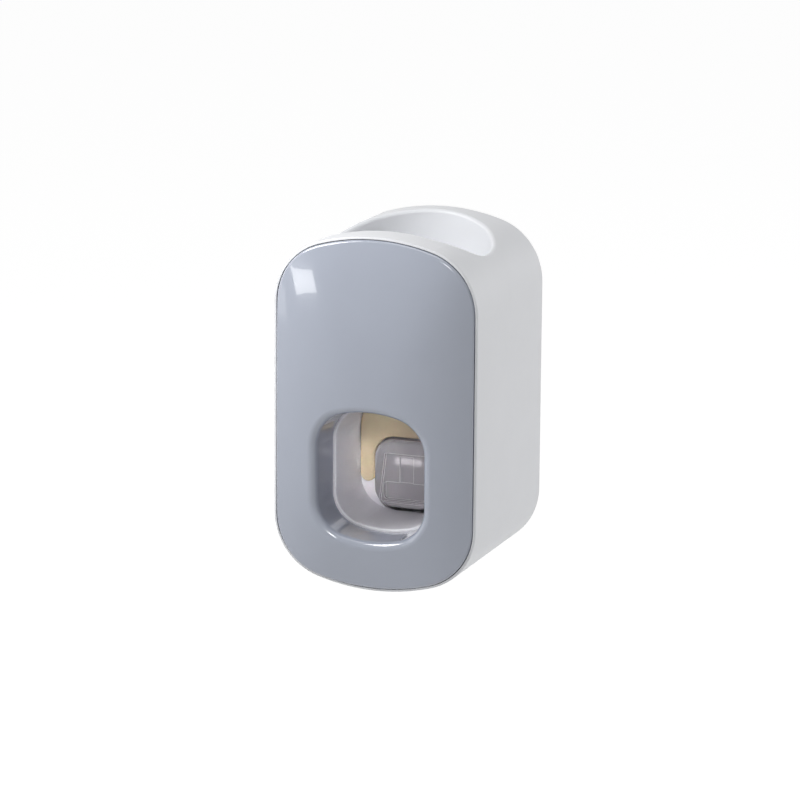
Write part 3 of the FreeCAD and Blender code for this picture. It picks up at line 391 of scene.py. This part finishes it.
SHELL_WHITE = Moulding(
    "shell_satin_white", (0.72, 0.73, 0.755), roughness=0.42, grain=0.22 * MM, relief=0.12, drift=0.008)
PANEL_GREY = Moulding(
    "panel_polished_grey", (0.355, 0.385, 0.46), roughness=0.16, grain=1.6 * MM, relief=0.01, drift=0.012,
    coat=1.0, coat_roughness=0.02)
FRAME_MILKY = Moulding(
    "frame_milky", (0.93, 0.915, 0.98), roughness=0.3, grain=0.4 * MM, relief=0.05, scatter=0.5)
GUARD_AMBER = Moulding(
    "guard_amber", (0.70, 0.575, 0.395), roughness=0.25, grain=0.4 * MM, relief=0.04, scatter=0.3)
# The second colour is the painted highlight along the lever's edges.
LEVER_CLEAR = ClearMoulding(
    "lever_smoky_clear", (0.82, 0.78, 0.82), (0.94, 0.92, 0.94), roughness=0.12, clearness=0.65,
    edge_width=0.3 * MM)
INNER_WHITE = Moulding(
    "inner_white", (0.80, 0.81, 0.83), roughness=0.5, grain=0.3 * MM, relief=0.15, drift=0.015)
FUNNEL_WHITE = Moulding(
    "funnel_white", (0.84, 0.85, 0.88), roughness=0.3, grain=0.5 * MM, relief=0.05, drift=0.01)
FOOT_WHITE = Moulding(
    "foot_white", (0.78, 0.78, 0.77), roughness=0.45, grain=0.3 * MM, relief=0.1, drift=0.015)
SILICONE = Moulding(
    "silicone_milky", (0.74, 0.75, 0.76), roughness=0.4, grain=0.35 * MM, relief=0.1, scatter=0.6)
PAD_FOAM = FoamTape("pad_foam", (0.76, 0.77, 0.75))
STEEL = BrightSteel("bright_steel", (0.62, 0.62, 0.64), roughness=0.28)

NODE_FINISHES = {
    "outer_shell": SHELL_WHITE,
    "front_panel": PANEL_GREY,
    "core_frame": FRAME_MILKY,
    "splash_guard": GUARD_AMBER,
    "push_lever": LEVER_CLEAR,
    "presser_foot": FOOT_WHITE,
    "rear_cover": INNER_WHITE,
    "wall_bracket": INNER_WHITE,
    "tube_funnel": FUNNEL_WHITE,
    "inlet_collar": FOOT_WHITE,
    "pump_chamber": SILICONE,
    "inlet_valve": SILICONE,
    "outlet_valve": SILICONE,
    "socket_seal": SILICONE,
    "adhesive_pad": PAD_FOAM,
    "pivot_pin": STEEL,
    "pin_clips": STEEL,
    "return_spring": STEEL,
    "rear_screws": STEEL,
    "core_screws": STEEL,
    "guard_screws": STEEL,
    "funnel_screws": STEEL,
}


# Ways of working on the bench

def start_fresh() -> None:
    """Leaves edit mode and deselects everything."""
    if bpy.context.mode != "OBJECT":
        bpy.ops.object.mode_set(mode="OBJECT")
    bpy.ops.object.select_all(action="DESELECT")


def pick(piece: bpy.types.Object, wanted: Callable[[Vector], bool]) -> None:
    """Selects the vertices in a region, in edit mode.

    Args:
        piece: The piece in hand.
        wanted: A test of a vertex's place.
    """
    bpy.ops.object.mode_set(mode="EDIT")
    bpy.ops.mesh.select_mode(type="VERT")
    bpy.ops.mesh.select_all(action="DESELECT")
    bpy.ops.object.mode_set(mode="OBJECT")
    for vertex in piece.data.vertices:
        vertex.select = wanted(vertex.co)
    bpy.ops.object.mode_set(mode="EDIT")


def apply_modifier(piece: bpy.types.Object, kind: str, **values: object) -> None:
    """Adds a modifier, sets it and applies it.

    Args:
        piece: The piece, which is the active object.
        kind: The modifier's type name.
        values: Its settings by name.
    """
    if bpy.context.mode != "OBJECT":
        bpy.ops.object.mode_set(mode="OBJECT")
    modifier = piece.modifiers.new(kind.lower(), kind)
    for name, value in values.items():
        setattr(modifier, name, value)
    bpy.ops.object.modifier_apply(modifier=modifier.name)


def smooth(piece: bpy.types.Object, degrees: float = 35.0) -> None:
    """Turns a closed mesh's normals outwards and shades it smooth but for its sharp edges.

    Args:
        piece: The piece, which is the active object.
        degrees: Edges sharper than this stay sharp.
    """
    bpy.ops.object.mode_set(mode="EDIT")
    bpy.ops.mesh.select_all(action="SELECT")
    bpy.ops.mesh.normals_make_consistent(inside=False)
    bpy.ops.object.mode_set(mode="OBJECT")
    bpy.ops.object.shade_smooth_by_angle(angle=math.radians(degrees))


@cache
def material_of(finish: Finish) -> bpy.types.Material:
    """The one material of a finish, made when it is first asked for.

    Args:
        finish: The finish.

    Returns:
        Its material.
    """
    return finish.make()


def settle(piece: bpy.types.Object, name: str, finish: Finish, node: str) -> bpy.types.Object:
    """Names a finished piece, brings it to the origin and puts it in the place of a CAD node.

    Args:
        piece: The piece, which is the active object.
        name: Its name.
        finish: What it is made of.
        node: The CAD node that it stands for.

    Returns:
        The piece.
    """
    start_fresh()
    piece.select_set(True)
    bpy.context.view_layer.objects.active = piece
    bpy.ops.object.transform_apply(location=True, rotation=True, scale=True)
    piece.name = name
    piece.data.name = name
    piece.data.materials.clear()
    piece.data.materials.append(material_of(finish))
    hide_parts(node)
    low, high = (Vector(corner) for corner in (piece.bound_box[0], piece.bound_box[6]))
    LOG.info("%s: %.1f x %.1f x %.1f mm", name, *((high - low) / MM))
    return piece


@dataclass(frozen=True)
class Ring:
    """One ring of a turned piece: its radius and its height, in millimetres."""

    radius: float
    height: float


def turn(centre: Vector, rings: tuple[Ring, ...], filled: bool, sides: int = 48) -> bpy.types.Object:
    """Turns a piece about an upright axis, ring by ring.

    Args:
        centre: A point on the axis; its height isn't used.
        rings: The profile's rings in order.
        filled: Whether the first and last rings are closed by faces. If not, the last ring is led
            back to the first, so that the piece is a closed ring.
        sides: Corners of each ring.

    Returns:
        The piece, active and in object mode.
    """
    start_fresh()
    first = rings[0]
    bpy.ops.mesh.primitive_circle_add(
        vertices=sides, radius=first.radius * MM, fill_type="NGON" if filled else "NOTHING",
        location=(centre.x, centre.y, first.height * MM))
    piece = bpy.context.object
    bpy.ops.object.mode_set(mode="EDIT")
    bpy.ops.mesh.select_all(action="SELECT")
    path = rings if filled else (*rings, first)
    for before, after in zip(path, path[1:]):
        rise = (after.height - before.height) * MM
        grow = after.radius / before.radius
        bpy.ops.mesh.extrude_region_move(TRANSFORM_OT_translate={"value": (0.0, 0.0, rise)})
        bpy.ops.transform.resize(
            value=(grow, grow, 1.0), center_override=(centre.x, centre.y, after.height * MM))
    bpy.ops.mesh.select_all(action="SELECT")
    bpy.ops.mesh.remove_doubles(threshold=0.01 * MM)
    bpy.ops.object.mode_set(mode="OBJECT")
    return piece


# Sub-assemblies

@dataclass
class WallMount:
    """The bracket's foam pad: a rounded sheet whose sides bulge a little between the faces."""

    corner: float = 4.0 * MM
    corner_steps: int = 6
    bulge: float = 0.985
    shares: tuple[float, float, float] = (0.3, 0.4, 0.3)
    fill: float = 0.9

    def build(self) -> bpy.types.Object:
        """Makes the pad.

        Returns:
            The pad.
        """
        low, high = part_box("adhesive_pad")
        middle, size = (low + high) / 2, high - low
        start_fresh()
        bpy.ops.mesh.primitive_plane_add(
            size=1.0, location=(middle.x, high.y, middle.z), rotation=(math.pi / 2, 0.0, 0.0))
        pad = bpy.context.object
        pad.scale = (size.x * self.bulge, size.z * self.bulge, 1.0)
        bpy.ops.object.transform_apply(location=True, rotation=True, scale=True)
        bpy.ops.object.mode_set(mode="EDIT")
        bpy.ops.mesh.select_all(action="SELECT")
        bpy.ops.mesh.bevel(offset=self.corner, offset_pct=0, segments=self.corner_steps, affect="VERTICES")
        bpy.ops.mesh.select_all(action="SELECT")
        for share, grow in zip(self.shares, (1 / self.bulge, 1.0, self.bulge)):
            bpy.ops.mesh.extrude_region_move(TRANSFORM_OT_translate={"value": (0.0, -size.y * share, 0.0)})
            bpy.ops.transform.resize(value=(grow, 1.0, grow), center_override=middle)
        bpy.ops.mesh.select_all(action="SELECT")
        smooth(pad, 50.0)
        settle(pad, "foam_pad", PAD_FOAM, "adhesive_pad")
        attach(pad, Body.WALL_MOUNT.value)
        return pad


@dataclass(frozen=True)
class Section:
    """A level of the pump chamber in millimetres: height, centre's depth, half width, half depth."""

    height: float
    depth: float
    half: float
    deep: float


@dataclass
class Pump:
    """The squeezed silicone chamber, its two one-way valves and the seal for the tube's neck."""

    wall: float = 1.4 * MM
    sides: int = 40
    lip_round: float = 0.3 * MM
    keep: float = 0.7
    beak_lip: float = 0.25 * MM
    slit_flat: float = 0.2
    slit_depth: float = 0.6 * MM
    inlet_slit: float = 1.5 * MM
    outlet_slit: float = 1.8 * MM
    valve_round: float = 0.12 * MM
    seal_round: float = 0.15 * MM
    seal_sides: int = 64
    sections: tuple[Section, ...] = (
        Section(24.9, 30.2, 7.1, 7.1),
        Section(20.6, 30.2, 7.1, 7.1),
        Section(18.0, 31.7, 8.0, 7.2),
        Section(15.0, 33.6, 9.0, 7.3),
        Section(12.0, 35.4, 10.0, 7.4),
        Section(9.0, 36.8, 8.5, 6.8),
        Section(6.0, 38.2, 7.0, 6.2),
        Section(3.2, 39.5, 5.6, 5.6),
    )
    inlet_rings: tuple[Ring, ...] = (
        Ring(1.8, 17.6), Ring(4.0, 22.1), Ring(4.0, 26.65), Ring(6.8, 26.65), Ring(6.8, 27.85),
        Ring(2.7, 27.85), Ring(2.7, 22.6), Ring(0.6, 18.9),
    )
    outlet_rings: tuple[Ring, ...] = (
        Ring(2.2, -2.4), Ring(4.4, 0.1), Ring(4.4, 1.9), Ring(6.0, 1.9), Ring(6.0, 3.1),
        Ring(3.0, 3.1), Ring(3.0, 0.7), Ring(0.6, -1.6),
    )
    seal_rings: tuple[Ring, ...] = (
        Ring(6.2, 27.95), Ring(7.1, 27.95), Ring(7.1, 26.65), Ring(10.9, 26.65), Ring(10.9, 28.45),
        Ring(9.8, 28.45), Ring(9.8, 34.2), Ring(9.57, 34.77), Ring(9.0, 35.0), Ring(7.0, 35.0),
        Ring(6.4, 34.6), Ring(6.2, 34.2), Ring(6.35, 33.6), Ring(6.2, 33.0), Ring(6.35, 32.4),
        Ring(6.2, 31.8),
    )

    def build_chamber(self) -> bpy.types.Object:
        """Makes the chamber from its neck down to the spout.

        Returns:
            The chamber.
        """
        start_fresh()
        first = self.sections[0]
        bpy.ops.mesh.primitive_circle_add(
            vertices=self.sides, radius=first.deep * MM,
            location=(0.0, -first.depth * MM, first.height * MM))
        chamber = bpy.context.object
        bpy.ops.object.transform_apply(location=True, rotation=False, scale=False)
        bpy.ops.object.mode_set(mode="EDIT")
        bpy.ops.mesh.select_all(action="SELECT")
        for before, after in zip(self.sections, self.sections[1:]):
            step = (0.0, (before.depth - after.depth) * MM, (after.height - before.height) * MM)
            grow = after.deep / before.deep
            bpy.ops.mesh.extrude_region_move(TRANSFORM_OT_translate={"value": step})
            bpy.ops.transform.resize(
                value=(grow, grow, 1.0), center_override=(0.0, -after.depth * MM, after.height * MM))
        for section in self.sections:
            for side in (-1, 1):
                pick(chamber, lambda place: abs(place.z - section.height * MM) < 0.1 * MM
                     and place.x * side > 0.01 * MM)
                bpy.ops.transform.translate(value=(side * (section.half - section.deep) * MM, 0.0, 0.0))
        apply_modifier(chamber, "SOLIDIFY", thickness=self.wall, offset=-1.0)
        apply_modifier(
            chamber, "BEVEL", width=self.lip_round, segments=2, limit_method="ANGLE", angle_limit=1.0)
        smooth(chamber, 50.0)
        settle(chamber, "silicone_chamber", SILICONE, "pump_chamber")
        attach(chamber, Body.HOUSING.value)
        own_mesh(chamber)
        return chamber

    def build_valve(self, node: str, rings: tuple[Ring, ...], slit: float) -> bpy.types.Object:
        """Makes a valve: a turned body whose beak is cut by a slit.

        Args:
            node: The CAD node that it stands for.
            rings: Its profile from the beak's tip, round the flange and down inside.
            slit: Half length of the slit in metres.

        Returns:
            The valve.
        """
        low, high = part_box(node)
        centre = (low + high) / 2
        valve = turn(centre, rings, filled=True)
        tip = rings[0].height * MM - valve.location.z
        pick(valve, lambda place: abs(place.z - tip) < 0.01 * MM)
        bpy.ops.mesh.inset(thickness=self.beak_lip)
        share = slit / (rings[0].radius * MM)
        bpy.ops.transform.resize(
            value=(share, self.slit_flat, 1.0), center_override=(centre.x, centre.y, rings[0].height * MM))
        bpy.ops.mesh.extrude_region_move(TRANSFORM_OT_translate={"value": (0.0, 0.0, self.slit_depth)})
        apply_modifier(
            valve, "BEVEL", width=self.valve_round, segments=2, limit_method="ANGLE", angle_limit=0.6)
        smooth(valve)
        settle(valve, f"silicone_{node}", SILICONE, node)
        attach(valve, Body.HOUSING.value)
        return valve

    def build_seal(self) -> bpy.types.Object:
        """Makes the seal: a flanged ring with a rolled lip and two sealing beads in its bore.

        Returns:
            The seal.
        """
        low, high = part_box("socket_seal")
        seal = turn((low + high) / 2, self.seal_rings, filled=False, sides=self.seal_sides)
        apply_modifier(
            seal, "BEVEL", width=self.seal_round, segments=2, limit_method="ANGLE", angle_limit=0.6)
        smooth(seal)
        settle(seal, "silicone_seal", SILICONE, "socket_seal")
        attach(seal, Body.HOUSING.value)
        return seal

    def build(self) -> None:
        """Makes all four pieces."""
        self.build_chamber()
        self.build_valve("inlet_valve", self.inlet_rings, self.inlet_slit)
        self.build_valve("outlet_valve", self.outlet_rings, self.outlet_slit)
        self.build_seal()


@dataclass
class LeverSpring:
    """The torsion spring round the lever's pin, wound to the left and with two straight legs."""

    wire: float = 0.4 * MM
    radius: float = 2.7 * MM
    pitch: float = 1.25 * MM
    turns: int = 3
    leg: float = 6.0 * MM
    lever_side: float = -24.4 * MM
    wire_sides: int = 12
    steps_per_turn: int = 24
    leg_steps: int = 3
    pin: Vector = field(default_factory=lambda: Vector((0.0, -22.4, -4.5)) * MM)

    def build(self) -> bpy.types.Object:
        """Winds the coil, then draws out its legs.

        Returns:
            The spring.
        """
        low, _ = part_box("return_spring")
        start = low.x + self.wire
        end = start + self.pitch * self.turns
        start_fresh()
        bpy.ops.mesh.primitive_circle_add(vertices=self.wire_sides, radius=self.wire, location=self.pin)
        spring = bpy.context.object
        bpy.ops.object.mode_set(mode="EDIT")
        bpy.ops.mesh.select_all(action="SELECT")
        bpy.ops.transform.translate(value=(start, -self.radius, 0.0))
        steps = self.steps_per_turn * self.turns
        apply_modifier(
            spring, "SCREW", axis="X", angle=-2 * math.pi * self.turns,
            screw_offset=self.pitch * self.turns, steps=steps, render_steps=steps,
            use_merge_vertices=False)
        reach = 1.05 * self.wire
        for side, way, depth in ((start, -1, low.y + self.wire), (end, 1, self.lever_side)):
            pick(spring, lambda place: abs(place.x - side) < reach and abs(place.z) < self.wire / 2
                 and place.y < -self.radius + reach)
            slant = (depth - self.pin.y + self.radius) / self.leg_steps
            step = (0.0, slant, way * self.leg / self.leg_steps)
            for _ in range(self.leg_steps):
                bpy.ops.mesh.extrude_region_move(TRANSFORM_OT_translate={"value": step})
            bpy.ops.mesh.edge_face_add()
        smooth(spring, 40.0)
        settle(spring, "torsion_spring", STEEL, "return_spring")
        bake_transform(spring)
        return spring


# Studio

WINDOW_HEIGHT = -17 * MM


@dataclass
class SoftBox:
    """A rectangular lamp with its place, what it points at, its sides in metres and its power."""

    name: str
    place: Vector
    aim: Vector
    size: tuple[float, float]
    watts: float
    roll: float = 0.0
    spread: float = math.pi

    def build(self) -> bpy.types.Object:
        """Adds the lamp.

        Returns:
            The lamp's object.
        """
        bpy.ops.object.light_add(type="AREA", location=self.place)
        lamp = bpy.context.object
        lamp.name = self.name
        lamp.rotation_mode = "QUATERNION"
        facing = (self.aim - self.place).to_track_quat("-Z", "Y")
        lamp.rotation_quaternion = facing @ Quaternion((0, 0, 1), self.roll)
        lamp.data.shape = "RECTANGLE"
        lamp.data.size, lamp.data.size_y = self.size
        lamp.data.energy = self.watts
        lamp.data.spread = self.spread
        lamp.visible_camera = False
        return lamp


@dataclass
class Studio:
    """White sweep, soft lamps and the camera at the photograph's view."""

    centre: Vector
    floor_drop: float = 0.075
    floor_size: float = 6.0
    floor_glow: float = 0.97
    floor_shadow: float = 0.15
    floor_bounce: float = 0.8
    fill: float = 0.04
    azimuth: float = math.radians(21.162)
    elevation: float = math.radians(13.076)
    roll: float = math.radians(0.448)
    distance: float = 1.20125
    lens: float = 192.6
    sensor: float = 36.0
    shift: tuple[float, float] = (-0.0121, -0.0055)
    lamps: list[SoftBox] = field(default_factory=list)

    def build_camera(self) -> bpy.types.Object:
        """Sets the camera at the photograph's view.

        Returns:
            The camera's object.
        """
        back = Vector((
            math.sin(self.azimuth) * math.cos(self.elevation),
            -math.cos(self.azimuth) * math.cos(self.elevation),
            math.sin(self.elevation),
        ))
        right = Vector((0, 0, 1)).cross(back).normalized()
        up = back.cross(right)
        turned_right = right * math.cos(self.roll) + up * math.sin(self.roll)
        turned_up = up * math.cos(self.roll) - right * math.sin(self.roll)
        axes = Matrix((turned_right, turned_up, back)).transposed().to_4x4()
        bpy.ops.object.camera_add()
        camera = bpy.context.object
        camera.matrix_world = Matrix.Translation(self.centre + back * self.distance) @ axes
        camera.data.lens = self.lens
        camera.data.sensor_width = self.sensor
        camera.data.shift_x, camera.data.shift_y = self.shift
        bpy.context.scene.camera = camera
        return camera

    def build_floor(self) -> bpy.types.Object:
        """A white floor that keeps a faint shadow.

        Returns:
            The floor's object.
        """
        low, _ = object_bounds()
        bpy.ops.mesh.primitive_plane_add(size=self.floor_size, location=(0, 0, low.z - self.floor_drop))
        floor = bpy.context.object
        floor.name = "floor"
        graph = Graph("floor_white")
        seen = seen_directly(graph.tree)
        nodes, links = graph.tree.nodes, graph.tree.links
        glow = graph.add("ShaderNodeEmission", Color=(1.0, 1.0, 1.0), Strength=self.floor_glow)
        matte = graph.add("ShaderNodeBsdfDiffuse", Color=(self.floor_shadow,) * 3)
        both = nodes.new("ShaderNodeAddShader")
        links.new(glow.outputs[0], both.inputs[0])
        links.new(matte.outputs[0], both.inputs[1])
        pale = graph.add("ShaderNodeBsdfDiffuse", Color=(self.floor_bounce,) * 3)
        choice = nodes.new("ShaderNodeMixShader")
        links.new(seen, choice.inputs[0])
        links.new(pale.outputs[0], choice.inputs[1])
        links.new(both.outputs[0], choice.inputs[2])
        links.new(choice.outputs[0], nodes["Material Output"].inputs["Surface"])
        nodes.remove(graph.shader)
        floor.data.materials.append(graph.material)
        floor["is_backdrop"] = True
        return floor

    def build_world(self) -> None:
        """White where it is seen, a soft grey fill elsewhere."""
        world = bpy.data.worlds.new("studio")
        bpy.context.scene.world = world
        world.use_nodes = True
        tree = world.node_tree
        strength = tree.nodes.new("ShaderNodeMapRange")
        strength.inputs["To Min"].default_value = self.fill
        strength.inputs["To Max"].default_value = 1.0
        tree.links.new(seen_directly(tree), strength.inputs["Value"])
        tree.links.new(strength.outputs[0], tree.nodes["Background"].inputs["Strength"])
        tree.nodes["Background"].inputs["Color"].default_value = (1.0, 1.0, 1.0, 1.0)

    def build(self) -> None:
        """Builds the whole studio."""
        bpy.context.scene.view_settings.view_transform = "Standard"
        self.build_world()
        self.build_floor()
        for lamp in self.lamps:
            lamp.build()
        self.build_camera()


def around(centre: Vector, azimuth: float, elevation: float, distance: float) -> Vector:
    """A place round the object.

    Args:
        centre: The object's middle.
        azimuth: Degrees to the right of straight in front.
        elevation: Degrees above the horizon.
        distance: Metres from the middle.

    Returns:
        The place.
    """
    turn_by, tilt = math.radians(azimuth), math.radians(elevation)
    return centre + distance * Vector((
        math.sin(turn_by) * math.cos(tilt), -math.cos(turn_by) * math.cos(tilt), math.sin(tilt)))


def seen_directly(tree: bpy.types.NodeTree) -> bpy.types.NodeSocket:
    """Whether something is seen by the camera, in a reflection or through clear plastic.

    Args:
        tree: The material's or world's nodes.

    Returns:
        A socket that is 1 for such rays.
    """
    path = tree.nodes.new("ShaderNodeLightPath")
    total = path.outputs["Is Camera Ray"]
    for kind in ("Is Glossy Ray", "Is Transmission Ray"):
        step = tree.nodes.new("ShaderNodeMath")
        step.operation = "MAXIMUM"
        tree.links.new(total, step.inputs[0])
        tree.links.new(path.outputs[kind], step.inputs[1])
        total = step.outputs[0]
    return total


def soft_boxes(centre: Vector, window: Vector) -> list[SoftBox]:
    """The studio's lamps.

    The key stands close by at the upper left, the strip is what the panel's corner mirrors, and the
    snoot is a narrow beam through the window that lights the tray alone.

    Args:
        centre: The object's middle.
        window: The middle of the panel's window.

    Returns:
        The lamps.
    """
    tilt = math.radians(18)
    beam = math.radians(4.5)
    return [
        SoftBox("key", around(centre, -48, 42, 0.24), centre, (0.10, 0.10), 0.38),
        SoftBox("strip", around(centre, -42.5, 3.9, 0.9), centre, (0.285, 0.077), 0.36, roll=tilt),
        SoftBox("left", around(centre, -82, 4, 0.9), centre, (0.7, 0.7), 1.4),
        SoftBox("window", around(centre, 10, 25, 0.9), centre, (0.2, 0.2), 2.0),
        SoftBox("snoot", around(window, 24, 2, 0.3), window, (0.012, 0.012), 0.0006, spread=beam),
        SoftBox("side", around(centre, 118, 15, 0.9), centre, (0.5, 0.5), 4.2),
        SoftBox("top", around(centre, 0, 86, 0.8), centre, (0.5, 0.5), 1.3),
    ]


def dress_nodes() -> None:
    """Gives each CAD node its finish."""
    for name, finish in NODE_FINISHES.items():
        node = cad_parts[name]
        node.data.materials.clear()
        node.data.materials.append(material_of(finish))
        LOG.info("%s: %s", name, finish.name)


def main() -> None:
    """Builds the sub-assemblies, then the studio."""
    logging.basicConfig(level=logging.INFO, format="%(message)s")
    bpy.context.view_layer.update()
    dress_nodes()
    WallMount().build()
    Pump().build()
    LeverSpring().build()
    low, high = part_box("outer_shell")
    centre = (low + high) / 2
    window = Vector((0.0, low.y, WINDOW_HEIGHT))
    Studio(centre, lamps=soft_boxes(centre, window)).build()


if __name__ == "__main__":
    main()
